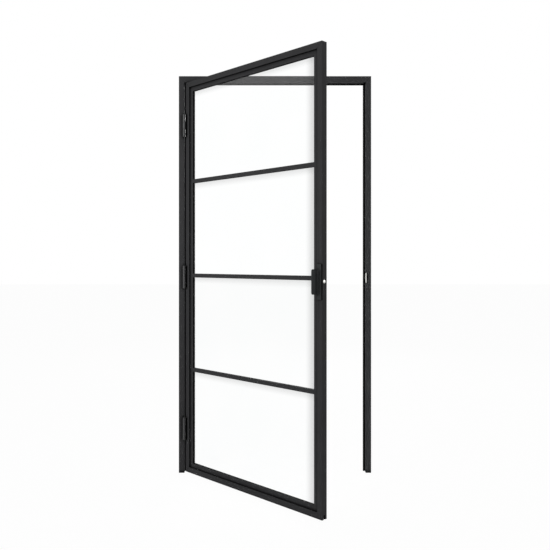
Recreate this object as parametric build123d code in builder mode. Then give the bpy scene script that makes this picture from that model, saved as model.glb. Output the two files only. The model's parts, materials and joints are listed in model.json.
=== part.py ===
from build123d import *
import os
from math import cos, radians, sin, sqrt

# Glass door leaf in its three sided frame, in millimetres.
# X runs across the doorway, Y runs into the room behind it, Z is up.
# The origin is on the floor, at mid width, in the plane of the frame's front face.

# Frame profiles
frame_width = 1000
frame_height = 2063
frame_depth = 39
frame_wall = 2
jamb_face = 28.5
head_face = 32
rebate_depth = 35
jamb_stop = 10
head_stop = 6.5

# Gaps round the closed leaf, and how far it stands open
side_gap = 4.5
head_gap = 4.5
floor_gap = 9.5
leaf_opening = 45

# Leaf profiles
leaf_depth = 30.5
leaf_wall = 2
tube_face = 27.5
glazing_leg_height = 23.3
leg_thickness = 3
leg_set_back = 7
bead_set_back = 6.5
bead_wall = 1.6

# Glass and what holds it
glass_thickness = 6
glass_edge_gap = 5.5
gasket_thickness = 2
gasket_cover = 6
gasket_lip = 1.2
setting_block_length = 80
setting_block_inset = 230

# Glazing bars
bar_height = 20
bar_pitch = 485
bar_middle_height = 1017.5
bar_edge_round = 1

# Frame seal
seal_thickness = 4
seal_width = 8
seal_inset = 1
seal_root_width = 2.6
seal_root_depth = 2
head_seal_width = 5

# Corner cleats
cleat_length = 90
cleat_clearance = 0.2

# Hinges
hinge_height = 115
hinge_end_inset = 223
hinge_barrel_radius = 7
hinge_reach = 7.5
hinge_plate_thickness = 2.5
hinge_plate_depth = 28
hinge_knuckles = 3
knuckle_gap = 0.4
pin_radius = 4
pin_clearance = 0.05
pin_end_projection = 1
hinge_notch_width = 11
hinge_notch_depth = 8
hinge_notch_clearance = 1.75
hinge_block_thickness = 12
hinge_block_overlap = 12

# Pull handles
pull_height = 151
pull_centre = 1002.5
pull_inner_margin = 0.5
pull_plate_round = 2
pull_plate_thickness = 3
pull_flange_height = 107
pull_flange_thickness = 4
pull_projection = 38
back_pull_projection = 23
pull_root_round = 9
pull_corner_round = 8
pull_edge_clear = 3.5
back_pull_edge_clear = 9
pull_notch_width = 5
pull_notch_depth = 4
pull_screw_spacing = 130
pull_screw_radius = 2.5
pull_screw_head_radius = 4
pull_screw_head_height = 2
pull_screw_inset = 17
pull_screw_bite = 1.5
pull_screw_clearance = 0.1
pull_screw_tip_gap = 0.5
lock_block_overlap = 12

# Ball catch in the lock edge, at the middle of the leaf's depth
catch_height = 1004.2
catch_radius = 7.25
catch_wall = 0.95
catch_length = 22
catch_mouth_radius = 5.5
catch_mouth_depth = 1.2
catch_running_gap = 0.3
catch_seat_gap = 0.05
plunger_projection = 3.9
plunger_tip_radius = 1.8
plunger_bevel_projection = 2.3
plunger_bevel_radius = 4
plunger_shoulder = 6
plunger_bore_radius = 4.4
plunger_bore_depth = 4.5
spring_radius = 3.5
spring_wire_width = 1
spring_turns = 3

# Strike plate on the strike jamb
strike_height = 50
strike_depth = 28
strike_thickness = 2.5
strike_lip = 4
strike_corner_round = 2
strike_notch_width = 11
strike_notch_depth = 5
strike_hole_radius = 7
strike_pocket_depth = 5
strike_block_thickness = 12
strike_block_overlap = 12

# Wall fixings through the jambs
fixing_hole_radius = 2.75
fixing_depth = 18
fixing_foot_inset = 140
fixing_head_inset = 183
fixing_inner_spacing = 620

# Draught brush under the leaf
groove_width = 8
groove_height = 19
groove_wall = 1.5
brush_end_inset = 17
brush_carrier_height = 7
brush_carrier_clearance = 0.2
brush_strip_width = 3
brush_drop = 7

# Sizes that follow from the ones above
leaf_width = frame_width - 2 * (jamb_face + side_gap)
leaf_height = frame_height - head_face - head_gap - floor_gap
leaf_face = tube_face + glazing_leg_height
leg_back = leaf_depth - leg_set_back
leg_front = leg_back - leg_thickness
glass_back = leg_front - gasket_thickness
glass_front = glass_back - glass_thickness
bead_back = glass_front - gasket_thickness
hinge_heights = {
    "bottom": hinge_end_inset,
    "middle": leaf_height / 2,
    "top": leaf_height - hinge_end_inset,
}
bar_heights = {
    "bottom": bar_middle_height - bar_pitch,
    "middle": bar_middle_height,
    "top": bar_middle_height + bar_pitch,
}
pivot_x = -frame_width / 2 + jamb_face
pivot_y = -hinge_reach
rebate_x = frame_width / 2 - jamb_face
strike_middle = floor_gap + catch_height
knuckle_length = (hinge_height - (hinge_knuckles - 1) * knuckle_gap) / hinge_knuckles
from_top = (Align.CENTER, Align.CENTER, Align.MAX)
from_bottom = (Align.CENTER, Align.CENTER, Align.MIN)

# The frame's own axes, and the leaf's: x from its hinge edge, y from its pull face, z from its foot
frame_base = Plane.XY
pivot_base = Plane(origin=(pivot_x, pivot_y, 0), x_dir=(1, 0, 0), z_dir=(0, 0, 1))
swung_base = Plane(
    origin=(pivot_x, pivot_y, 0),
    x_dir=(cos(radians(leaf_opening)), -sin(radians(leaf_opening)), 0),
    z_dir=(0, 0, 1),
)
leaf_base = Plane(
    origin=swung_base.from_local_coords(Vector(side_gap, hinge_reach, floor_gap)),
    x_dir=swung_base.x_dir,
    z_dir=swung_base.z_dir,
)


def plan(base, x=0, y=0, z=0):
    """A level plane: its x runs across the door and its y into the depth."""
    return Plane(base.from_local_coords(Vector(x, y, z)), x_dir=base.x_dir, z_dir=base.z_dir)


def elevation(base, x=0, y=0, z=0):
    """An upright plane across the door: its y runs up and its normal points out of the pull face."""
    return Plane(base.from_local_coords(Vector(x, y, z)), x_dir=base.x_dir, z_dir=-base.y_dir)


def side_view(base, x=0, y=0, z=0):
    """An upright plane across the depth: its y runs up and its normal points along the width."""
    return Plane(base.from_local_coords(Vector(x, y, z)), x_dir=base.y_dir, z_dir=base.x_dir)


def run_planes(base, width, height):
    """Section planes of the four sides of a rectangle: x runs inwards and y into the depth."""
    across, up = base.x_dir, base.z_dir
    return {
        "hinge": Plane(base.origin, x_dir=across, z_dir=up),
        "lock": Plane(base.origin + across * width + up * height, x_dir=-across, z_dir=-up),
        "bottom": Plane(base.origin + across * width, x_dir=up, z_dir=-across),
        "top": Plane(base.origin + up * height, x_dir=-up, z_dir=across),
    }


def outline(plane, points):
    """A flat face with straight edges through the points."""
    with BuildSketch(plane) as face:
        with BuildLine():
            Polyline(*points, close=True)
        make_face()
    return face.sketch


def block(base, x, y, z):
    """A block between the low and high values of x, y and z."""
    with BuildSketch(plan(base, z=z[0])) as foot:
        with Locations(((x[0] + x[1]) / 2, (y[0] + y[1]) / 2)):
            Rectangle(x[1] - x[0], y[1] - y[0])
    return extrude(foot.sketch, amount=z[1] - z[0], mode=Mode.PRIVATE)


def band(middle, height):
    """The low and high value of a band round its middle."""
    return (middle - height / 2, middle + height / 2)


# Mitre lines of the leaf's four sides, seen from the pull side
def leaf_mitre(side, face):
    near = (face, face)
    outlines = {
        "hinge": [(0, 0), near, (face, leaf_height - face), (0, leaf_height)],
        "lock": [
            (leaf_width, 0),
            (leaf_width, leaf_height),
            (leaf_width - face, leaf_height - face),
            (leaf_width - face, face),
        ],
        "bottom": [(0, 0), (leaf_width, 0), (leaf_width - face, face), near],
        "top": [
            (0, leaf_height),
            (face, leaf_height - face),
            (leaf_width - face, leaf_height - face),
            (leaf_width, leaf_height),
        ],
    }
    return outline(elevation(leaf_base), outlines[side])


# Mitre lines of the frame's two jambs and head, which meet at both the face and the stop
def frame_mitre(side):
    half = frame_width / 2
    jamb_edge = half - jamb_face
    stop_edge = jamb_edge - jamb_stop
    head_edge = frame_height - head_face
    head_stop_edge = head_edge - head_stop
    jamb = [
        (half, 0),
        (half, frame_height),
        (jamb_edge, head_edge),
        (stop_edge, head_stop_edge),
        (stop_edge, 0),
    ]
    outlines = {
        "hinge": [(-x, z) for x, z in jamb],
        "lock": jamb,
        "top": [
            (-half, frame_height),
            (-jamb_edge, head_edge),
            (-stop_edge, head_stop_edge),
            (stop_edge, head_stop_edge),
            (jamb_edge, head_edge),
            (half, frame_height),
        ],
    }
    return outline(elevation(frame_base), outlines[side])


def frame_section(plane, face):
    """Hollow frame profile."""
    with BuildSketch(plane) as section:
        with Locations((face / 2, frame_depth / 2)):
            Rectangle(face, frame_depth)
            Rectangle(face - 2 * frame_wall, frame_depth - 2 * frame_wall, mode=Mode.SUBTRACT)
    return section.sketch


def stop_section(plane, face, stop, seal):
    """Flat stop along the back of the profile, grooved on its front for the root of the seal."""
    groove_left = face + seal_inset + (seal - seal_root_width) / 2
    groove_right = groove_left + seal_root_width
    with BuildSketch(plane) as section:
        with BuildLine():
            Polyline(
                (face, rebate_depth),
                (groove_left, rebate_depth),
                (groove_left, rebate_depth + seal_root_depth),
                (groove_right, rebate_depth + seal_root_depth),
                (groove_right, rebate_depth),
                (face + stop, rebate_depth),
                (face + stop, frame_depth),
                (face, frame_depth),
                close=True,
            )
        make_face()
    return section.sketch


def seal_section(plane, face, seal):
    """Rubber seal: a root in the groove of the stop, and a low arched bead in front of it."""
    left = face + seal_inset
    middle = left + seal / 2
    with BuildSketch(plane) as section:
        with BuildLine():
            Line((left, rebate_depth), (middle - seal_root_width / 2, rebate_depth))
            Polyline(
                (middle - seal_root_width / 2, rebate_depth),
                (middle - seal_root_width / 2, rebate_depth + seal_root_depth),
                (middle + seal_root_width / 2, rebate_depth + seal_root_depth),
                (middle + seal_root_width / 2, rebate_depth),
            )
            Line((middle + seal_root_width / 2, rebate_depth), (left + seal, rebate_depth))
            ThreePointArc(
                (left + seal, rebate_depth),
                (middle, rebate_depth - seal_thickness),
                (left, rebate_depth),
            )
        make_face()
    return section.sketch


def leaf_section(plane):
    """Hollow leaf profile with the glazing leg that stands behind the glass."""
    with BuildSketch(plane) as section:
        with BuildLine():
            Polyline(
                (0, 0),
                (tube_face, 0),
                (tube_face, leg_front),
                (leaf_face, leg_front),
                (leaf_face, leg_back),
                (tube_face, leg_back),
                (tube_face, leaf_depth),
                (0, leaf_depth),
                close=True,
            )
        make_face()
        with BuildLine():
            Polyline(
                (leaf_wall, leaf_wall),
                (tube_face - leaf_wall, leaf_wall),
                (tube_face - leaf_wall, leaf_depth - leaf_wall),
                (leaf_wall, leaf_depth - leaf_wall),
                close=True,
            )
        make_face(mode=Mode.SUBTRACT)
    return section.sketch


def bead_section(plane):
    """Snap in glazing bead: a flat face with a foot on the tube and a lip over the gasket."""
    with BuildSketch(plane) as section:
        with BuildLine():
            Polyline(
                (tube_face, bead_set_back),
                (leaf_face, bead_set_back),
                (leaf_face, bead_back),
                (leaf_face - bead_wall, bead_back),
                (leaf_face - bead_wall, bead_set_back + bead_wall),
                (tube_face + bead_wall, bead_set_back + bead_wall),
                (tube_face + bead_wall, bead_back),
                (tube_face, bead_back),
                close=True,
            )
        make_face()
    return section.sketch


def finish(piece, name):
    """Name a finished piece and write it out."""
    piece.part.label = name
    export_step(piece.part, f"parts/{name}.step")


os.makedirs("parts", exist_ok=True)
frame_runs = run_planes(
    plan(frame_base, x=-frame_width / 2), frame_width, frame_height
)
leaf_runs = run_planes(leaf_base, leaf_width, leaf_height)
run_lengths = {"hinge": leaf_height, "lock": leaf_height, "bottom": leaf_width, "top": leaf_width}

# Where the wall fixings and the pull's bolts sit, as heights above the floor and the leaf's foot
fixing_outer = (fixing_foot_inset, frame_height - fixing_head_inset)
fixing_heights = [*fixing_outer, *band(sum(fixing_outer) / 2, fixing_inner_spacing)]
pull_screw_heights = band(pull_centre, pull_screw_spacing)

# Hinge jamb, with its hinge mortises and wall fixing holes
with BuildPart() as hinge_jamb:
    extrude(frame_section(frame_runs["hinge"], jamb_face), amount=frame_height)
    extrude(frame_mitre("hinge"), amount=-frame_depth, mode=Mode.INTERSECT)
    for middle in hinge_heights.values():
        mortise = block(
            frame_base,
            (pivot_x - hinge_plate_thickness, pivot_x),
            (0, hinge_plate_depth),
            band(middle + floor_gap, hinge_height),
        )
        add(mortise, mode=Mode.SUBTRACT)
    with Locations(*[side_view(frame_base, pivot_x, fixing_depth, z) for z in fixing_heights]):
        Hole(fixing_hole_radius, depth=jamb_face)
finish(hinge_jamb, "hinge_jamb")

# Strike jamb, with the mortise and corner notch of the strike
with BuildPart() as strike_jamb:
    extrude(frame_section(frame_runs["lock"], jamb_face), amount=frame_height)
    extrude(frame_mitre("lock"), amount=-frame_depth, mode=Mode.INTERSECT)
    strike_band = band(strike_middle, strike_height)
    mortise = block(
        frame_base, (rebate_x, rebate_x + strike_thickness), (0, strike_depth), strike_band
    )
    notch = block(
        frame_base, (rebate_x, rebate_x + strike_notch_width), (0, strike_notch_depth), strike_band
    )
    add(mortise, mode=Mode.SUBTRACT)
    add(notch, mode=Mode.SUBTRACT)
    with Locations(*[side_view(frame_base, frame_width / 2, fixing_depth, z) for z in fixing_heights]):
        Hole(fixing_hole_radius, depth=jamb_face)
finish(strike_jamb, "strike_jamb")

# Frame head
with BuildPart() as frame_head:
    extrude(frame_section(frame_runs["top"], head_face), amount=frame_width)
    extrude(frame_mitre("top"), amount=-frame_depth, mode=Mode.INTERSECT)
finish(frame_head, "frame_head")

# Stops along the back of the frame, each with its rubber seal
frame_sides = {
    "hinge_jamb": ("hinge", jamb_face, jamb_stop, seal_width, frame_height),
    "strike_jamb": ("lock", jamb_face, jamb_stop, seal_width, frame_height),
    "frame_head": ("top", head_face, head_stop, head_seal_width, frame_width),
}
for name, (side, face, stop, seal, length) in frame_sides.items():
    with BuildPart() as frame_stop:
        extrude(stop_section(frame_runs[side], face, stop, seal), amount=length)
        extrude(frame_mitre(side), amount=-frame_depth, mode=Mode.INTERSECT)
    finish(frame_stop, f"{name}_stop")
    with BuildPart() as frame_seal:
        extrude(seal_section(frame_runs[side], face, seal), amount=length)
        extrude(frame_mitre(side), amount=-frame_depth, mode=Mode.INTERSECT)
    finish(frame_seal, f"{name}_seal")


def corner_cleat(base, corner, inwards, arms, front, back):
    """An angle cleat in a mitre: from its outer corner, with its arm widths down and across."""
    corner_x, corner_z = corner
    side, down = inwards
    upright_width, level_width = arms
    points = [
        (0, 0),
        (cleat_length, 0),
        (cleat_length, level_width),
        (upright_width, level_width),
        (upright_width, cleat_length),
        (0, cleat_length),
    ]
    face = [(corner_x + side * x, corner_z + down * z) for x, z in points]
    return extrude(
        outline(elevation(base, y=back), face), amount=back - front, mode=Mode.PRIVATE
    )


# Cleats inside the two frame mitres, clear of the walls where the unequal faces meet
mitre_slant = max(head_face / jamb_face, jamb_face / head_face)
frame_inside = frame_wall * mitre_slant + cleat_clearance
with BuildPart() as frame_corner_cleats:
    for side in (-1, 1):
        cleat = corner_cleat(
            frame_base,
            (side * (frame_width / 2 - frame_inside), frame_height - frame_inside),
            (-side, -1),
            (jamb_face - 2 * frame_inside, head_face - 2 * frame_inside),
            frame_inside,
            frame_depth - frame_inside,
        )
        add(cleat)
finish(frame_corner_cleats, "frame_corner_cleats")

# Backing blocks in the hinge jamb, behind the hinge plates
with BuildPart() as hinge_jamb_blocks:
    for middle in hinge_heights.values():
        backing = block(
            frame_base,
            (pivot_x - hinge_plate_thickness - hinge_block_thickness, pivot_x - hinge_plate_thickness),
            (frame_wall, frame_depth - frame_wall),
            band(middle + floor_gap, hinge_height + 2 * hinge_block_overlap),
        )
        add(backing)
finish(hinge_jamb_blocks, "hinge_jamb_blocks")

# Backing block in the strike jamb, cut away where the corner notch lies and behind the ball's hole
with BuildPart() as strike_jamb_block:
    backing = block(
        frame_base,
        (rebate_x + strike_thickness, rebate_x + strike_thickness + strike_block_thickness),
        (frame_wall, frame_depth - frame_wall),
        band(strike_middle, strike_height + 2 * strike_block_overlap),
    )
    add(backing)
    add(notch, mode=Mode.SUBTRACT)
    with Locations(-side_view(frame_base, rebate_x, leaf_depth / 2, strike_middle)):
        Hole(strike_hole_radius, depth=strike_thickness + strike_pocket_depth)
finish(strike_jamb_block, "strike_jamb_block")

# Strike plate, bent round the corner of the jamb
with BuildPart() as strike_plate:
    with BuildSketch(plan(frame_base, z=strike_band[0])) as strike_section:
        with BuildLine():
            Polyline(
                (rebate_x, 0),
                (rebate_x + strike_lip, 0),
                (rebate_x + strike_lip, strike_thickness),
                (rebate_x + strike_thickness, strike_thickness),
                (rebate_x + strike_thickness, strike_depth),
                (rebate_x, strike_depth),
                close=True,
            )
        make_face()
        bend = strike_section.vertices().sort_by_distance((rebate_x, 0, strike_band[0]))[0]
        fillet(bend, strike_corner_round)
    extrude(amount=strike_height)
    with Locations(-side_view(frame_base, rebate_x, leaf_depth / 2, strike_middle)):
        Hole(strike_hole_radius, depth=strike_thickness)
finish(strike_plate, "strike_plate")


def hinge_half(base, plate_x, knuckles, middle):
    """One half of a hinge: its plate, its knuckles and the strips that join them."""
    with BuildPart() as half:
        plate = block(
            base,
            (plate_x, plate_x + hinge_plate_thickness),
            (hinge_reach, hinge_reach + hinge_plate_depth),
            band(middle, hinge_height),
        )
        add(plate)
        for knuckle in knuckles:
            knuckle_foot = middle - hinge_height / 2 + knuckle * (knuckle_length + knuckle_gap)
            with BuildSketch(plan(base, z=knuckle_foot)):
                Circle(hinge_barrel_radius)
                with Locations((plate_x + hinge_plate_thickness / 2, hinge_reach / 2)):
                    Rectangle(hinge_plate_thickness, hinge_reach)
                Circle(pin_radius + pin_clearance, mode=Mode.SUBTRACT)
            extrude(amount=knuckle_length)
    return half


# Three hinges: the frame's half has the outer knuckles, the leaf's half the one between them
for place, middle in hinge_heights.items():
    height = middle + floor_gap
    frame_half = hinge_half(
        pivot_base, -hinge_plate_thickness, range(0, hinge_knuckles, 2), height
    )
    finish(frame_half, f"frame_hinge_plate_{place}")
    leaf_half = hinge_half(swung_base, side_gap, range(1, hinge_knuckles, 2), height)
    finish(leaf_half, f"leaf_hinge_plate_{place}")
    pin_band = band(height, hinge_height + 2 * pin_end_projection)
    with BuildPart() as hinge_pin:
        with BuildSketch(plan(pivot_base, z=pin_band[0])):
            Circle(pin_radius)
        extrude(amount=pin_band[1] - pin_band[0])
    finish(hinge_pin, f"hinge_pin_{place}")

# Groove under the leaf, cut through the foot of both stiles
groove_front = (leaf_depth - groove_width) / 2
groove_back = groove_front + groove_width
groove = block(leaf_base, (0, leaf_width), (groove_front, groove_back), (0, groove_height))

# Corner notches beside the hinges
hinge_notches = [
    block(
        leaf_base,
        (0, hinge_notch_width),
        (0, hinge_notch_depth),
        band(middle, hinge_height + 2 * hinge_notch_clearance),
    )
    for middle in hinge_heights.values()
]

# Hinge stile, with its hinge mortises and corner notches
with BuildPart() as hinge_stile:
    extrude(leaf_section(leaf_runs["hinge"]), amount=leaf_height)
    extrude(leaf_mitre("hinge", leaf_face), amount=-leaf_depth, mode=Mode.INTERSECT)
    for middle in hinge_heights.values():
        mortise = block(
            leaf_base,
            (0, hinge_plate_thickness),
            (0, hinge_plate_depth),
            band(middle, hinge_height),
        )
        add(mortise, mode=Mode.SUBTRACT)
    for notch in hinge_notches:
        add(notch, mode=Mode.SUBTRACT)
    add(groove, mode=Mode.SUBTRACT)
finish(hinge_stile, "hinge_stile")

# Backing blocks in the hinge stile, behind the hinge plates and the corner notches
with BuildPart() as leaf_hinge_blocks:
    for middle in hinge_heights.values():
        backing = block(
            leaf_base,
            (hinge_plate_thickness, hinge_plate_thickness + hinge_block_thickness),
            (leaf_wall, leaf_depth - leaf_wall),
            band(middle, hinge_height + 2 * hinge_block_overlap),
        )
        add(backing)
    for notch in hinge_notches:
        add(notch, mode=Mode.SUBTRACT)
finish(leaf_hinge_blocks, "leaf_hinge_blocks")

# Places on the lock edge: the catch, the notch beside the pull, and the pull's through bolts
catch_plane = side_view(leaf_base, leaf_width, leaf_depth / 2, catch_height)
pull_notch = block(
    leaf_base,
    (leaf_width - pull_notch_width, leaf_width),
    (0, pull_notch_depth),
    band(pull_centre, pull_height),
)
pull_screw_planes = [
    -elevation(leaf_base, leaf_width - pull_screw_inset, leaf_depth + pull_plate_thickness, z)
    for z in pull_screw_heights
]
pull_screw_length = leaf_depth + pull_plate_thickness + pull_screw_bite


def pull_screw_holes():
    """Cut the clearance holes of the pull's through bolts."""
    with Locations(*pull_screw_planes):
        Hole(
            pull_screw_radius + pull_screw_clearance, depth=pull_screw_length + pull_screw_tip_gap
        )


# Lock stile
with BuildPart() as lock_stile:
    extrude(leaf_section(leaf_runs["lock"]), amount=leaf_height)
    extrude(leaf_mitre("lock", leaf_face), amount=-leaf_depth, mode=Mode.INTERSECT)
    add(pull_notch, mode=Mode.SUBTRACT)
    add(groove, mode=Mode.SUBTRACT)
    with Locations(catch_plane):
        Hole(catch_radius + catch_seat_gap, depth=catch_length)
    pull_screw_holes()
finish(lock_stile, "lock_stile")

# Block inside the lock stile that holds the catch and stiffens the pull
with BuildPart() as lock_block:
    body = block(
        leaf_base,
        (leaf_width - tube_face + leaf_wall, leaf_width - leaf_wall),
        (leaf_wall, leaf_depth - leaf_wall),
        band(pull_centre, pull_height + 2 * lock_block_overlap),
    )
    add(body)
    add(pull_notch, mode=Mode.SUBTRACT)
    with Locations(catch_plane):
        Hole(catch_radius + catch_seat_gap, depth=catch_length)
    pull_screw_holes()
finish(lock_block, "lock_block")

# Top rail
with BuildPart() as top_rail:
    extrude(leaf_section(leaf_runs["top"]), amount=leaf_width)
    extrude(leaf_mitre("top", leaf_face), amount=-leaf_depth, mode=Mode.INTERSECT)
finish(top_rail, "top_rail")

# Bottom rail, with the walls of the groove for the draught brush
with BuildPart() as bottom_rail:
    extrude(leaf_section(leaf_runs["bottom"]), amount=leaf_width)
    channel = block(
        leaf_base,
        (0, leaf_width),
        (groove_front - groove_wall, groove_back + groove_wall),
        (0, groove_height + groove_wall),
    )
    add(channel)
    add(groove, mode=Mode.SUBTRACT)
    extrude(leaf_mitre("bottom", leaf_face), amount=-leaf_depth, mode=Mode.INTERSECT)
finish(bottom_rail, "bottom_rail")

# Cleats inside the leaf mitres: those at the foot fit in front of the groove
leaf_inside = leaf_wall + cleat_clearance
cleat_width = tube_face - 2 * leaf_inside
with BuildPart() as leaf_corner_cleats:
    for x, side in ((leaf_inside, 1), (leaf_width - leaf_inside, -1)):
        foot_cleat = corner_cleat(
            leaf_base,
            (x, leaf_inside),
            (side, 1),
            (cleat_width, cleat_width),
            leaf_inside,
            groove_front - groove_wall - cleat_clearance,
        )
        head_cleat = corner_cleat(
            leaf_base,
            (x, leaf_height - leaf_inside),
            (side, -1),
            (cleat_width, cleat_width),
            leaf_inside,
            leaf_depth - leaf_inside,
        )
        add(foot_cleat)
        add(head_cleat)
finish(leaf_corner_cleats, "leaf_corner_cleats")

# Glass and its setting blocks
glass_inset = tube_face + glass_edge_gap
with BuildPart() as glass_pane:
    pane = block(
        leaf_base,
        (glass_inset, leaf_width - glass_inset),
        (glass_front, glass_back),
        (glass_inset, leaf_height - glass_inset),
    )
    add(pane)
finish(glass_pane, "glass_pane")

with BuildPart() as setting_blocks:
    for x in (setting_block_inset, leaf_width - setting_block_inset):
        foot_block = block(
            leaf_base,
            band(x, setting_block_length),
            (glass_front, glass_back),
            (tube_face, glass_inset),
        )
        add(foot_block)
    for z in (setting_block_inset, leaf_height - setting_block_inset):
        for edge in ((tube_face, glass_inset), (leaf_width - glass_inset, leaf_width - tube_face)):
            side_block = block(
                leaf_base, edge, (glass_front, glass_back), band(z, setting_block_length)
            )
            add(side_block)
finish(setting_blocks, "setting_blocks")


def glazing_gasket(back):
    """A rubber gasket round the glass that ends at the given depth."""
    outer = leaf_face - gasket_cover
    inner = leaf_face + gasket_lip
    with BuildPart() as gasket:
        with BuildSketch(elevation(leaf_base, leaf_width / 2, back, leaf_height / 2)):
            Rectangle(leaf_width - 2 * outer, leaf_height - 2 * outer)
            Rectangle(leaf_width - 2 * inner, leaf_height - 2 * inner, mode=Mode.SUBTRACT)
        extrude(amount=gasket_thickness)
    return gasket


finish(glazing_gasket(glass_front), "front_glazing_gasket")
finish(glazing_gasket(leg_front), "back_glazing_gasket")

# Glazing beads on the pull side
bead_names = {
    "hinge": "hinge_side_bead",
    "lock": "lock_side_bead",
    "bottom": "bottom_bead",
    "top": "top_bead",
}
for side, name in bead_names.items():
    with BuildPart() as bead:
        extrude(bead_section(leaf_runs[side]), amount=run_lengths[side])
        extrude(leaf_mitre(side, leaf_face), amount=-leaf_depth, mode=Mode.INTERSECT)
    finish(bead, name)


def glazing_bar(glass_side, gasket_side, outside, height):
    """A bar bonded to one face of the glass, rebated at its ends over the gasket."""
    near = leaf_face
    far = leaf_width - leaf_face
    with BuildPart() as bar:
        with BuildSketch(plan(leaf_base, z=height - bar_height / 2)):
            with BuildLine():
                Polyline(
                    (near, outside),
                    (far, outside),
                    (far, gasket_side),
                    (far - gasket_lip, gasket_side),
                    (far - gasket_lip, glass_side),
                    (near + gasket_lip, glass_side),
                    (near + gasket_lip, gasket_side),
                    (near, gasket_side),
                    close=True,
                )
            make_face()
        extrude(amount=bar_height)
        away = leaf_base.y_dir * (1 if outside > glass_side else -1)
        face = bar.faces().sort_by(Axis(leaf_base.origin, away))[-1]
        chamfer(face.edges().filter_by(Axis(leaf_base.origin, leaf_base.x_dir)), bar_edge_round)
    return bar


for place, height in bar_heights.items():
    finish(glazing_bar(glass_front, bead_back, bead_set_back, height), f"front_bar_{place}")
    finish(glazing_bar(glass_back, leg_front, leg_back, height), f"back_bar_{place}")


def pull(face, outward, edge_clear, projection):
    """An angle pull: its plate lies on the stile, and its flange stands out of it."""
    outer_x = leaf_width - edge_clear
    inner_x = leaf_width - tube_face + pull_inner_margin
    flange_x = inner_x + pull_flange_thickness
    plate_y = face + outward * pull_plate_thickness
    tip_y = face + outward * projection
    root_y = plate_y + outward * pull_root_round
    arc_reach = pull_root_round * (1 - sqrt(0.5))
    with BuildPart() as piece:
        with BuildSketch(plan(leaf_base, z=pull_centre - pull_height / 2)):
            with BuildLine():
                Polyline((outer_x, face), (outer_x, plate_y), (inner_x, plate_y), (inner_x, face), close=True)
            make_face()
        extrude(amount=pull_height)
        corners = piece.edges().filter_by(Axis(leaf_base.origin, leaf_base.y_dir))
        fillet(corners, pull_plate_round)
        with BuildSketch(plan(leaf_base, z=pull_centre - pull_flange_height / 2)):
            with BuildLine():
                Polyline(
                    (flange_x + pull_root_round, plate_y),
                    (inner_x, plate_y),
                    (inner_x, tip_y),
                    (flange_x, tip_y),
                    (flange_x, root_y),
                )
                ThreePointArc(
                    (flange_x, root_y),
                    (flange_x + arc_reach, plate_y + outward * arc_reach),
                    (flange_x + pull_root_round, plate_y),
                )
            make_face()
        extrude(amount=pull_flange_height)
        outward_axis = Axis(leaf_base.origin, leaf_base.y_dir * outward)
        tips = piece.edges().filter_by(Axis(leaf_base.origin, leaf_base.x_dir)).sort_by(outward_axis)[-2:]
        fillet(tips, pull_corner_round)
        pull_screw_holes()
    return piece


finish(pull(0, -1, pull_edge_clear, pull_projection), "front_pull")
finish(pull(leaf_depth, 1, back_pull_edge_clear, back_pull_projection), "back_pull")

# Through bolts of the pulls, with their heads on the push side
with BuildPart() as pull_screws:
    with Locations(*pull_screw_planes):
        Cylinder(pull_screw_head_radius, pull_screw_head_height, align=from_bottom)
        Cylinder(pull_screw_radius, pull_screw_length, align=from_top)
finish(pull_screws, "pull_screws")

# Ball catch: profiles in the plane of its axis, x out of the lock edge and y the radius
catch_profile_plane = plan(leaf_base, leaf_width, leaf_depth / 2, catch_height)
catch_axis = Axis(catch_profile_plane.origin, leaf_base.x_dir)
catch_bore = catch_radius - catch_wall
catch_floor = catch_length - catch_wall

with BuildPart() as catch_housing:
    with BuildSketch(catch_profile_plane):
        with BuildLine():
            Polyline(
                (0, catch_mouth_radius),
                (0, catch_radius),
                (-catch_length, catch_radius),
                (-catch_length, 0),
                (-catch_floor, 0),
                (-catch_floor, catch_bore),
                (-catch_mouth_depth, catch_bore),
                (-catch_mouth_depth, catch_mouth_radius),
                close=True,
            )
        make_face()
    revolve(axis=catch_axis)
finish(catch_housing, "catch_housing")

# Plunger: a bevelled nose through the mouth, a shoulder behind it and a pocket for the spring
nose_radius = catch_mouth_radius - catch_running_gap
shoulder_radius = catch_bore - catch_running_gap
shoulder_back = catch_mouth_depth + plunger_shoulder
pocket_floor = shoulder_back - plunger_bore_depth
with BuildPart() as catch_plunger:
    with BuildSketch(catch_profile_plane):
        with BuildLine():
            Polyline(
                (plunger_projection, 0),
                (plunger_projection, plunger_tip_radius),
                (plunger_bevel_projection, plunger_bevel_radius),
                (0, nose_radius),
                (-catch_mouth_depth, nose_radius),
                (-catch_mouth_depth, shoulder_radius),
                (-shoulder_back, shoulder_radius),
                (-shoulder_back, plunger_bore_radius),
                (-pocket_floor, plunger_bore_radius),
                (-pocket_floor, 0),
                close=True,
            )
        make_face()
    revolve(axis=catch_axis)
finish(catch_plunger, "catch_plunger")

# Square wire spring, from the plunger's pocket to the floor of the housing
spring_start = pocket_floor + spring_wire_width / 2 + catch_seat_gap
spring_end = catch_floor - spring_wire_width / 2 - catch_seat_gap
spring_foot = catch_profile_plane.from_local_coords(Vector(-spring_start, 0, 0))
with BuildPart() as catch_spring:
    with BuildLine() as coil:
        Helix(
            pitch=(spring_end - spring_start) / spring_turns,
            height=spring_end - spring_start,
            radius=spring_radius,
            center=spring_foot,
            direction=-leaf_base.x_dir,
        )
    wire_start = coil.line @ 0
    with BuildSketch(Plane(origin=wire_start, x_dir=wire_start - spring_foot, z_dir=coil.line % 0)):
        Rectangle(spring_wire_width, spring_wire_width)
    sweep(is_frenet=True)
finish(catch_spring, "catch_spring")

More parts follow.
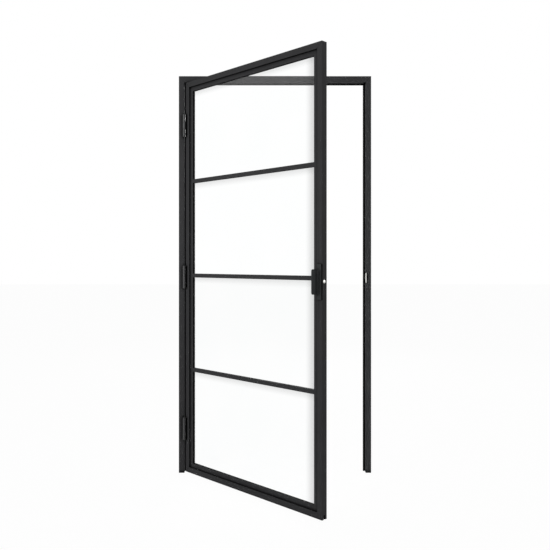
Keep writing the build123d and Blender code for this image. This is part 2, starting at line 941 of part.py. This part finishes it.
# Draught brush in the groove
brush_run = (brush_end_inset, leaf_width - brush_end_inset)
brush_middle = leaf_depth / 2
strip_side = band(brush_middle, brush_strip_width)
with BuildPart() as brush_carrier:
    carrier = block(
        leaf_base,
        brush_run,
        (groove_front + brush_carrier_clearance, groove_back - brush_carrier_clearance),
        (groove_height - brush_carrier_height, groove_height),
    )
    slot = block(
        leaf_base,
        brush_run,
        strip_side,
        (groove_height - brush_carrier_height, groove_height - groove_wall),
    )
    add(carrier)
    add(slot, mode=Mode.SUBTRACT)
finish(brush_carrier, "brush_carrier")

with BuildPart() as brush_strip:
    strip = block(leaf_base, brush_run, strip_side, (-brush_drop, groove_height - groove_wall))
    add(strip)
finish(brush_strip, "brush_strip")
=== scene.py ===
import json
import math
import random

import bmesh
import bpy
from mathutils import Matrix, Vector


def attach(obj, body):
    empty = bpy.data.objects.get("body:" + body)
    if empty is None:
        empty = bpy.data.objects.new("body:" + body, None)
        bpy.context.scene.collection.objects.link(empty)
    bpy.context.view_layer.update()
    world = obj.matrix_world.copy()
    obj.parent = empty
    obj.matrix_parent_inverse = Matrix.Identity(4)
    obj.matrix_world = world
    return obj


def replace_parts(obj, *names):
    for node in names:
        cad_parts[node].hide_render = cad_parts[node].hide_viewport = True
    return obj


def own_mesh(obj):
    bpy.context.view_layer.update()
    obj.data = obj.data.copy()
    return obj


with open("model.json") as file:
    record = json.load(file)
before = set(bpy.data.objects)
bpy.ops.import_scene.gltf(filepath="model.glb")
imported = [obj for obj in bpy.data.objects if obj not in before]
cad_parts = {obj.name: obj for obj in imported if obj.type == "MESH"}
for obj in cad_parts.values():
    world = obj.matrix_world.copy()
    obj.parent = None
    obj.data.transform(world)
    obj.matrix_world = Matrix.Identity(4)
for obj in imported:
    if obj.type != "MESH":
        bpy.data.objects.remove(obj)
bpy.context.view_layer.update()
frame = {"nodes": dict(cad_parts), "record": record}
nodes = frame["nodes"]
MM = 0.001

# The leaf's own axes at rest: across its width, through its thickness, and up
LEAF_ANGLE = math.radians(45)
ACROSS = Vector((math.cos(LEAF_ANGLE), -math.sin(LEAF_ANGLE), 0))
THROUGH = Vector((math.sin(LEAF_ANGLE), math.cos(LEAF_ANGLE), 0))
UP = Vector((0, 0, 1))
X_AXIS = Vector((1, 0, 0))
Y_AXIS = Vector((0, 1, 0))
PLACES = ("bottom", "middle", "top")

# Coated metal: how far and how strongly painted shade darkens its seams and corners, and how much its
# roughness drifts
PAINTED_SHADE_REACH = 18 * MM
PAINTED_SHADE_POWER = 3.5
PAINTED_SHADE_SAMPLES = 8
COAT_ROUGHNESS_DRIFT = 0.05

# Rubber and plastic: their faint gloss, and how much rougher the dusty spots are
SOFT_GLOSS = 0.08
DUST_ROUGHNESS = 0.15

# Glass: painted shadow beside the lock stile and under each bar, as the share of light left there, and how
# far it reaches
PAINTED_SHADOW_SIDE_REACH = 62 * MM
PAINTED_SHADOW_SIDE_LEVEL = 0.66
PAINTED_SHADOW_FOOT_REACH = 38 * MM
PAINTED_SHADOW_FOOT_LEVEL = 0.8
PAINTED_SHADOW_STEP = 2 * MM
GLASS_IOR = 1.4
GLASS_ROUGHEST = 0.008
GLASS_FILM_DARK = (0.985, 0.995, 0.993)
GLASS_FILM_LIGHT = (0.997, 1.0, 1.0)
GLASS_SHADOW_TINT = (0.92, 0.93, 0.925, 1)

# Small edge rounds in millimetres, with the pieces that have them
WELD_DISTANCE = 0.01 * MM
EDGE_SEGMENTS = 2
EDGE_ANGLE = math.radians(35)
EDGE_ROUNDS = {
    0.5: ("hinge_jamb", "strike_jamb", "frame_head", "hinge_stile", "lock_stile", "top_rail", "bottom_rail",
          "front_pull", "back_pull"),
    0.3: ("hinge_side_bead", "lock_side_bead", "top_bead", "bottom_bead",
          "hinge_jamb_stop", "strike_jamb_stop", "frame_head_stop"),
    0.2: ("strike_plate", "catch_plunger"),
}

# Screws: share of the head's radius, and height above the plate in millimetres, from rim to socket
SCREW_PROFILE = ((1.0, 0.0), (1.0, 0.12), (0.88, 0.3), (0.42, 0.34), (0.36, 0.3), (0.36, 0.04))
SCREW_SIDES = 24
HINGE_SCREW_RADIUS = 4 * MM
HINGE_SCREW_PITCH = 38 * MM
HINGE_SCREW_INSET = 11 * MM
STRIKE_SCREW_RADIUS = 3.4 * MM
STRIKE_SCREW_PITCH = 17 * MM

# Draught brush
BRISTLE_PITCH = 1.1 * MM
BRISTLE_ROWS = 3
BRISTLE_ROW_GAP = 0.9 * MM
BRISTLE_LEAN = 0.5 * MM
BRISTLE_UNEVEN = 1.2 * MM
BRISTLE_RADIUS = 0.3 * MM
BRISTLE_TIP_RADIUS = 0.18 * MM
BRISTLE_SIDES = 3
BRISTLE_SEED = 7

# Surroundings: the floor's share of plain white to the eye, and the light that the world gives the door
FLOOR_SIZE = 60
FLOOR_WHITE_SHARE = 0.97
FLOOR_ROUGHNESS = 0.9
WORLD_LIGHT = 0.33
WHITE = (1, 1, 1, 1)
DOOR_MIDDLE = (0, 0, 1.1)
HINGE_JAMB_MIDDLE = (-0.48, 0, 1.25)

# Camera of the photograph: level, in front of the middle of the frame, with its window lowered a little
FRAME_PIXELS = 550
HORIZON_PIXEL = 262.58
CAMERA_DISTANCE = 3.456
CAMERA_HEIGHT = 1.0934
CAMERA_ANGLE = math.radians(44.96)


def reach(node, direction):
    """The lowest and highest value of a CAD node along a direction, in metres."""
    values = [vertex.co.dot(direction) for vertex in nodes[node].data.vertices]
    return min(values), max(values)


def middle(node, direction):
    """The value halfway through a CAD node along a direction, in metres."""
    return sum(reach(node, direction)) / 2


# Node graph helpers
def new_material(name):
    """A material with its node tree, its Principled shader, and coordinates in the piece's own space."""
    material = bpy.data.materials.new(name)
    material.use_nodes = True
    tree = material.node_tree
    shader = tree.nodes["Principled BSDF"]
    place = tree.nodes.new("ShaderNodeTexCoord").outputs["Object"]
    return material, tree, shader, place


def noise(tree, place, scale, detail, stretch=None):
    """Noise of the given scale, in features to the metre, drawn out where stretch is given."""
    if stretch:
        mapping = tree.nodes.new("ShaderNodeMapping")
        mapping.inputs["Scale"].default_value = stretch
        tree.links.new(place, mapping.inputs["Vector"])
        place = mapping.outputs["Vector"]
    node = tree.nodes.new("ShaderNodeTexNoise")
    node.inputs["Scale"].default_value = scale
    node.inputs["Detail"].default_value = detail
    tree.links.new(place, node.inputs["Vector"])
    return node.outputs["Fac"]


def blend_colours(tree, factor, dark, light, low=0.35, high=0.65):
    """A colour that runs from dark to light as the factor rises from low to high."""
    ramp = tree.nodes.new("ShaderNodeValToRGB")
    ramp.color_ramp.elements[0].position = low
    ramp.color_ramp.elements[1].position = high
    ramp.color_ramp.elements[0].color = (*dark, 1)
    ramp.color_ramp.elements[1].color = (*light, 1)
    tree.links.new(factor, ramp.inputs["Fac"])
    return ramp.outputs["Color"]


def remap(tree, factor, low, high):
    """The factor mapped from 0 and 1 to low and high."""
    node = tree.nodes.new("ShaderNodeMapRange")
    node.inputs["To Min"].default_value = low
    node.inputs["To Max"].default_value = high
    tree.links.new(factor, node.inputs["Value"])
    return node.outputs["Result"]


def calculate(tree, operation, first, second):
    """One step of arithmetic on two values, each of them a socket or a number."""
    node = tree.nodes.new("ShaderNodeMath")
    node.operation = operation
    for socket, value in zip(node.inputs, (first, second)):
        if isinstance(value, (int, float)):
            socket.default_value = value
        else:
            tree.links.new(value, socket)
    return node.outputs[0]


def scale_colour(tree, colour, factor):
    """The colour times a factor."""
    node = tree.nodes.new("ShaderNodeVectorMath")
    node.operation = "SCALE"
    tree.links.new(colour, node.inputs[0])
    tree.links.new(factor, node.inputs["Scale"])
    return node.outputs["Vector"]


def bump(tree, shader, height, strength, distance):
    """Surface relief, of the given depth in metres."""
    node = tree.nodes.new("ShaderNodeBump")
    node.inputs["Strength"].default_value = strength
    node.inputs["Distance"].default_value = distance
    tree.links.new(height, node.inputs["Height"])
    tree.links.new(node.outputs["Normal"], shader.inputs["Normal"])


def painted_crevice_shade(tree):
    """Painted shade: 1 in the open, falling towards 0 deep in seams and corners, where shade falls."""
    node = tree.nodes.new("ShaderNodeAmbientOcclusion")
    node.samples = PAINTED_SHADE_SAMPLES
    node.inputs["Distance"].default_value = PAINTED_SHADE_REACH
    return calculate(tree, "POWER", node.outputs["AO"], PAINTED_SHADE_POWER)


def fade(tree, place, direction, start, end):
    """0 at the start of a stretch along a direction, rising smoothly to 1 at its end, and 1 past it."""
    dot = tree.nodes.new("ShaderNodeVectorMath")
    dot.operation = "DOT_PRODUCT"
    dot.inputs[1].default_value = direction
    tree.links.new(place, dot.inputs[0])
    step = tree.nodes.new("ShaderNodeMapRange")
    step.interpolation_type = "SMOOTHSTEP"
    step.inputs["From Min"].default_value = start
    step.inputs["From Max"].default_value = end
    tree.links.new(dot.outputs["Value"], step.inputs["Value"])
    return step.outputs["Result"]


def mix_shaders(tree, factor, first, second, output):
    """Show the first shader where the factor is 0 and the second where it is 1."""
    mix = tree.nodes.new("ShaderNodeMixShader")
    tree.links.new(factor, mix.inputs["Fac"])
    tree.links.new(first, mix.inputs[1])
    tree.links.new(second, mix.inputs[2])
    tree.links.new(mix.outputs["Shader"], tree.nodes[output].inputs["Surface"])


# Materials
def coated_metal(name, dark, light, roughness, specular):
    """Powder coated metal: fine orange peel, a slow drift of tone and roughness, and painted shade in seams
    and corners.
    """
    material, tree, shader, place = new_material(name)
    drift = blend_colours(tree, noise(tree, place, scale=6, detail=2), dark, light)
    # The base colour is darkened by painted shade in seams and corners
    tree.links.new(scale_colour(tree, drift, painted_crevice_shade(tree)), shader.inputs["Base Color"])
    patch = noise(tree, place, scale=35, detail=4)
    smoothest, roughest = roughness - COAT_ROUGHNESS_DRIFT, roughness + COAT_ROUGHNESS_DRIFT
    tree.links.new(remap(tree, patch, smoothest, roughest), shader.inputs["Roughness"])
    shader.inputs["Specular IOR Level"].default_value = specular
    bump(tree, shader, noise(tree, place, scale=1400, detail=2), strength=0.35, distance=0.08 * MM)
    return material


def bright_metal(name, dark, light, smoothest, roughest, stretch):
    """Bare metal with fine lines left by its making."""
    material, tree, shader, place = new_material(name)
    lines = noise(tree, place, scale=900, detail=3, stretch=stretch)
    tree.links.new(blend_colours(tree, lines, dark, light), shader.inputs["Base Color"])
    tree.links.new(remap(tree, lines, smoothest, roughest), shader.inputs["Roughness"])
    shader.inputs["Metallic"].default_value = 1.0
    bump(tree, shader, lines, strength=0.15, distance=0.03 * MM)
    return material


def soft_black(name, dark, light, roughness, grain):
    """Matt rubber or plastic with a fine grain and dusty high spots."""
    material, tree, shader, place = new_material(name)
    dust = noise(tree, place, scale=60, detail=5)
    tree.links.new(blend_colours(tree, dust, dark, light), shader.inputs["Base Color"])
    tree.links.new(remap(tree, dust, roughness, roughness + DUST_ROUGHNESS), shader.inputs["Roughness"])
    shader.inputs["Specular IOR Level"].default_value = SOFT_GLOSS
    bump(tree, shader, noise(tree, place, scale=grain, detail=2), strength=0.3, distance=0.1 * MM)
    return material


def glass_painted_shadow(tree, place):
    """Painted shadow on the glass: the share of light that it lets through, made less beside the lock stile
    and under each bar.
    """
    bead_edge = reach("lock_side_bead", ACROSS)[0]
    # Painted shadow beside the lock stile, then under each bar
    beside = fade(tree, place, -ACROSS, -bead_edge, PAINTED_SHADOW_SIDE_REACH - bead_edge)
    clear = remap(tree, beside, PAINTED_SHADOW_SIDE_LEVEL, 1.0)
    for bar in ("top_bead", "front_bar_top", "front_bar_middle", "front_bar_bottom"):
        foot = reach(bar, UP)[0]
        below = fade(tree, place, -UP, -foot, PAINTED_SHADOW_FOOT_REACH - foot)
        above = fade(tree, place, UP, foot, foot + PAINTED_SHADOW_STEP)
        outside_painted_shadow = calculate(tree, "MAXIMUM", below, above)
        clear = calculate(tree, "MULTIPLY", clear, remap(tree, outside_painted_shadow, PAINTED_SHADOW_FOOT_LEVEL, 1.0))
    return clear


def clear_glass(name):
    """Clear sheet glass with a faint film and painted shadow beside the lock stile and under each bar, which
    lets light through to what is behind it.
    """
    material, tree, shader, place = new_material(name)
    film = blend_colours(tree, noise(tree, place, scale=3, detail=3), GLASS_FILM_DARK, GLASS_FILM_LIGHT)
    # The film's colour carries the painted shadow beside the lock stile and under each bar
    tree.links.new(scale_colour(tree, film, glass_painted_shadow(tree, place)), shader.inputs["Base Color"])
    wipe = noise(tree, place, scale=5, detail=2)
    tree.links.new(remap(tree, wipe, 0.0, GLASS_ROUGHEST), shader.inputs["Roughness"])
    shader.inputs["Transmission Weight"].default_value = 1.0
    shader.inputs["IOR"].default_value = GLASS_IOR
    through = tree.nodes.new("ShaderNodeBsdfTransparent")
    through.inputs["Color"].default_value = GLASS_SHADOW_TINT
    rays = tree.nodes.new("ShaderNodeLightPath").outputs
    surfaces = (shader.outputs["BSDF"], through.outputs["BSDF"])
    mix_shaders(tree, rays["Is Shadow Ray"], *surfaces, "Material Output")
    return material


MATERIALS = {
    "dark_profile": coated_metal(
        "dark_profile", dark=(0.035, 0.035, 0.0365), light=(0.039, 0.039, 0.0405),
        roughness=0.5, specular=0.04
    ),
    "dark_fittings": coated_metal(
        "dark_fittings", dark=(0.033, 0.035, 0.036), light=(0.038, 0.04, 0.041), roughness=0.45, specular=0.06
    ),
    "hinge_steel": coated_metal(
        "hinge_steel", dark=(0.04, 0.04, 0.041), light=(0.05, 0.05, 0.051), roughness=0.35, specular=0.35
    ),
    "polished_steel": bright_metal(
        "polished_steel", dark=(0.78, 0.78, 0.75), light=(0.86, 0.86, 0.83),
        smoothest=0.12, roughest=0.24, stretch=(1, 1, 0.05)
    ),
    "bare_aluminium": bright_metal(
        "bare_aluminium", dark=(0.55, 0.55, 0.57), light=(0.66, 0.66, 0.68),
        smoothest=0.3, roughest=0.45, stretch=(1, 1, 0.02)
    ),
    "black_plastic": soft_black(
        "black_plastic", dark=(0.003, 0.003, 0.003), light=(0.006, 0.006, 0.006), roughness=0.55, grain=900
    ),
    "black_rubber": soft_black(
        "black_rubber", dark=(0.003, 0.003, 0.003), light=(0.007, 0.007, 0.007), roughness=0.6, grain=600
    ),
    "brush_pile": soft_black(
        "brush_pile", dark=(0.008, 0.008, 0.008), light=(0.02, 0.02, 0.02), roughness=0.8, grain=2000
    ),
    "clear_glass": clear_glass("clear_glass"),
}


# The CAD pieces: their finishes, and small rounded edges that also show the mitres as fine lines
def finish_node(node, slot):
    """Give a CAD piece the material of its slot."""
    node.data.materials.clear()
    node.data.materials.append(MATERIALS[slot])


def soften_edges(node, width):
    """Round the sharp edges of a piece by the given width in millimetres."""
    weld = node.modifiers.new("weld", "WELD")
    weld.merge_threshold = WELD_DISTANCE
    bevel = node.modifiers.new("edge", "BEVEL")
    bevel.width = width * MM
    bevel.segments = EDGE_SEGMENTS
    bevel.limit_method = "ANGLE"
    bevel.angle_limit = EDGE_ANGLE
    bevel.use_clamp_overlap = True


for subpart in frame["record"]["subparts"]:
    finish_node(nodes[subpart["node"]], subpart["material_slot"])
for width, names in EDGE_ROUNDS.items():
    for name in names:
        soften_edges(nodes[name], width)


# New pieces
def add_piece(mesh, name, body, slot):
    """Turn a finished bmesh into a named piece that rides a body and takes a material slot."""
    bmesh.ops.recalc_face_normals(mesh, faces=mesh.faces)
    data = bpy.data.meshes.new(name)
    mesh.to_mesh(data)
    mesh.free()
    data.materials.append(MATERIALS[slot])
    piece = bpy.data.objects.new(name, data)
    bpy.context.scene.collection.objects.link(piece)
    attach(piece, body)
    return piece


def ring(mesh, centre, across, up, radius, count):
    """A ring of points round a centre, in the plane of two directions."""
    turns = [2 * math.pi * number / count for number in range(count)]
    return [
        mesh.verts.new(centre + (across * math.cos(turn) + up * math.sin(turn)) * radius)
        for turn in turns
    ]


def join_rings(mesh, first, second):
    """Faces between two rings of equal count."""
    count = len(first)
    for number in range(count):
        after = (number + 1) % count
        mesh.faces.new((first[number], first[after], second[after], second[number]))


def screw_head(mesh, centre, normal, radius):
    """A low domed screw head with a round socket, standing on a plate."""
    across = normal.cross(UP)
    rings = [
        ring(mesh, centre + normal * (height * MM), across, UP, radius * share, SCREW_SIDES)
        for share, height in SCREW_PROFILE
    ]
    for first, second in zip(rings, rings[1:]):
        join_rings(mesh, first, second)
    mesh.faces.new(rings[0])
    mesh.faces.new(rings[-1])


def make_hinge_screws(body, carrier, outward, inward):
    """Three screws in each hinge half of a body, on the face of its plate that looks into the gap."""
    mesh = bmesh.new()
    face = reach(carrier, outward)[1]
    for place in PLACES:
        plate = f"{body}_hinge_plate_{place}"
        depth = reach(plate, inward)[1] - HINGE_SCREW_INSET
        for number in (-1, 0, 1):
            height = middle(plate, UP) + number * HINGE_SCREW_PITCH
            screw_head(mesh, outward * face + inward * depth + UP * height, outward, HINGE_SCREW_RADIUS)
    add_piece(mesh, f"{body}_hinge_screws", body, "hinge_steel")


def make_strike_screws():
    """The screws of the strike plate, above and below the hole for the catch."""
    mesh = bmesh.new()
    face = reach("strike_plate", X_AXIS)[0]
    depth = middle("strike_plate", Y_AXIS)
    for side in (-1, 1):
        height = middle("strike_plate", UP) + side * STRIKE_SCREW_PITCH
        screw_head(mesh, Vector((face, depth, height)), -X_AXIS, STRIKE_SCREW_RADIUS)
    add_piece(mesh, "strike_screws", "frame", "polished_steel")


def bristle(mesh, root, tip):
    """One bristle from its root down to its tip."""
    root_ring = ring(mesh, root, ACROSS, THROUGH, BRISTLE_RADIUS, BRISTLE_SIDES)
    tip_ring = ring(mesh, tip, ACROSS, THROUGH, BRISTLE_TIP_RADIUS, BRISTLE_SIDES)
    join_rings(mesh, root_ring, tip_ring)
    mesh.faces.new(root_ring)
    mesh.faces.new(tip_ring)


def make_bristles():
    """The draught brush as rows of single bristles, in place of the plain strip."""
    random.seed(BRISTLE_SEED)
    start, end = reach("brush_strip", ACROSS)
    foot, head = reach("brush_strip", UP)
    mesh = bmesh.new()
    for row in range(BRISTLE_ROWS):
        through = middle("brush_strip", THROUGH) + (row - (BRISTLE_ROWS - 1) / 2) * BRISTLE_ROW_GAP
        for number in range(1, int((end - start) / BRISTLE_PITCH)):
            line = ACROSS * (start + number * BRISTLE_PITCH) + THROUGH * through
            lean = ACROSS * random.uniform(-BRISTLE_LEAN, BRISTLE_LEAN)
            tip_height = foot + random.uniform(0, BRISTLE_UNEVEN)
            bristle(mesh, line + UP * head, line + lean + UP * tip_height)
    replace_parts(add_piece(mesh, "brush_bristles", "leaf", "brush_pile"), "brush_strip")


def make_catch_coil():
    """The catch's spring as a piece of its own that rides the leaf, in place of the CAD spring."""
    coil = bpy.data.objects.new("catch_coil", nodes["catch_spring"].data.copy())
    bpy.context.scene.collection.objects.link(coil)
    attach(coil, "leaf")
    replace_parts(coil, "catch_spring")
    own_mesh(coil)


make_hinge_screws("frame", "hinge_jamb", X_AXIS, Y_AXIS)
make_hinge_screws("leaf", "hinge_stile", -ACROSS, THROUGH)
make_strike_screws()
make_bristles()
make_catch_coil()


# Floor and surroundings: white to the eye, also in gloss and through glass
def seen_directly(tree):
    """1 for the rays that show the surroundings, and 0 for those that light the door."""
    rays = tree.nodes.new("ShaderNodeLightPath").outputs
    seen = calculate(tree, "MAXIMUM", rays["Is Camera Ray"], rays["Is Glossy Ray"])
    return calculate(tree, "MAXIMUM", seen, rays["Is Transmission Ray"])


def make_floor():
    """A plain pale floor, almost white to the eye, which keeps a trace of the door's shadow."""
    bpy.ops.mesh.primitive_plane_add(size=FLOOR_SIZE, location=(0, 0, 0))
    floor = bpy.context.object
    floor.name = "floor"
    material, tree, shader, place = new_material("floor")
    drift = noise(tree, place, scale=0.8, detail=2)
    tone = blend_colours(tree, drift, dark=(0.72, 0.72, 0.72), light=(0.76, 0.76, 0.76))
    tree.links.new(tone, shader.inputs["Base Color"])
    shader.inputs["Roughness"].default_value = FLOOR_ROUGHNESS
    shader.inputs["Specular IOR Level"].default_value = 0.0
    glow = tree.nodes.new("ShaderNodeEmission")
    glow.inputs["Strength"].default_value = 1.0
    white_share = calculate(tree, "MULTIPLY", seen_directly(tree), FLOOR_WHITE_SHARE)
    mix_shaders(tree, white_share, shader.outputs["BSDF"], glow.outputs["Emission"], "Material Output")
    floor.data.materials.append(material)


def make_world():
    """A world that is white to the eye and lights the door evenly at a lower level."""
    world = bpy.data.worlds.new("studio")
    world.use_nodes = True
    tree = world.node_tree
    light = tree.nodes["Background"]
    light.inputs["Color"].default_value = WHITE
    light.inputs["Strength"].default_value = WORLD_LIGHT
    white = tree.nodes.new("ShaderNodeBackground")
    white.inputs["Color"].default_value = WHITE
    white.inputs["Strength"].default_value = 1.0
    backgrounds = (light.outputs["Background"], white.outputs["Background"])
    mix_shaders(tree, seen_directly(tree), *backgrounds, "World Output")
    bpy.context.scene.world = world


def area_lamp(name, place, target, size, power):
    """A soft lamp that looks at the target, and that isn't seen itself."""
    lamp = bpy.data.lights.new(name, "AREA")
    lamp.shape = "RECTANGLE"
    lamp.size, lamp.size_y = size
    lamp.energy = power
    holder = bpy.data.objects.new(name, lamp)
    holder.visible_camera = False
    holder.visible_transmission = False
    holder.location = place
    holder.rotation_euler = (Vector(target) - Vector(place)).to_track_quat("-Z", "Y").to_euler()
    bpy.context.scene.collection.objects.link(holder)


def make_camera():
    """The camera of the photograph."""
    data = bpy.data.cameras.new("camera")
    data.sensor_fit = "HORIZONTAL"
    data.angle = CAMERA_ANGLE
    data.shift_y = (HORIZON_PIXEL - FRAME_PIXELS / 2) / FRAME_PIXELS
    camera = bpy.data.objects.new("camera", data)
    camera.location = (0, -CAMERA_DISTANCE, CAMERA_HEIGHT)
    camera.rotation_euler = (math.radians(90), 0, 0)
    bpy.context.scene.collection.objects.link(camera)
    bpy.context.scene.camera = camera


make_floor()
make_world()
area_lamp("key", place=(-2.4, -3.6, 3.2), target=DOOR_MIDDLE, size=(1.4, 1.4), power=72)
area_lamp("side", place=(2.6, -3.4, 4.2), target=DOOR_MIDDLE, size=(1.4, 1.4), power=50)
area_lamp("jamb", place=(-1.1, -0.95, 1.25), target=HINGE_JAMB_MIDDLE, size=(0.2, 0.3), power=3.5)
area_lamp("back", place=(0.6, 4.2, 3.0), target=DOOR_MIDDLE, size=(1.6, 1.6), power=85)
make_camera()
bpy.context.scene.view_settings.view_transform = "Standard"
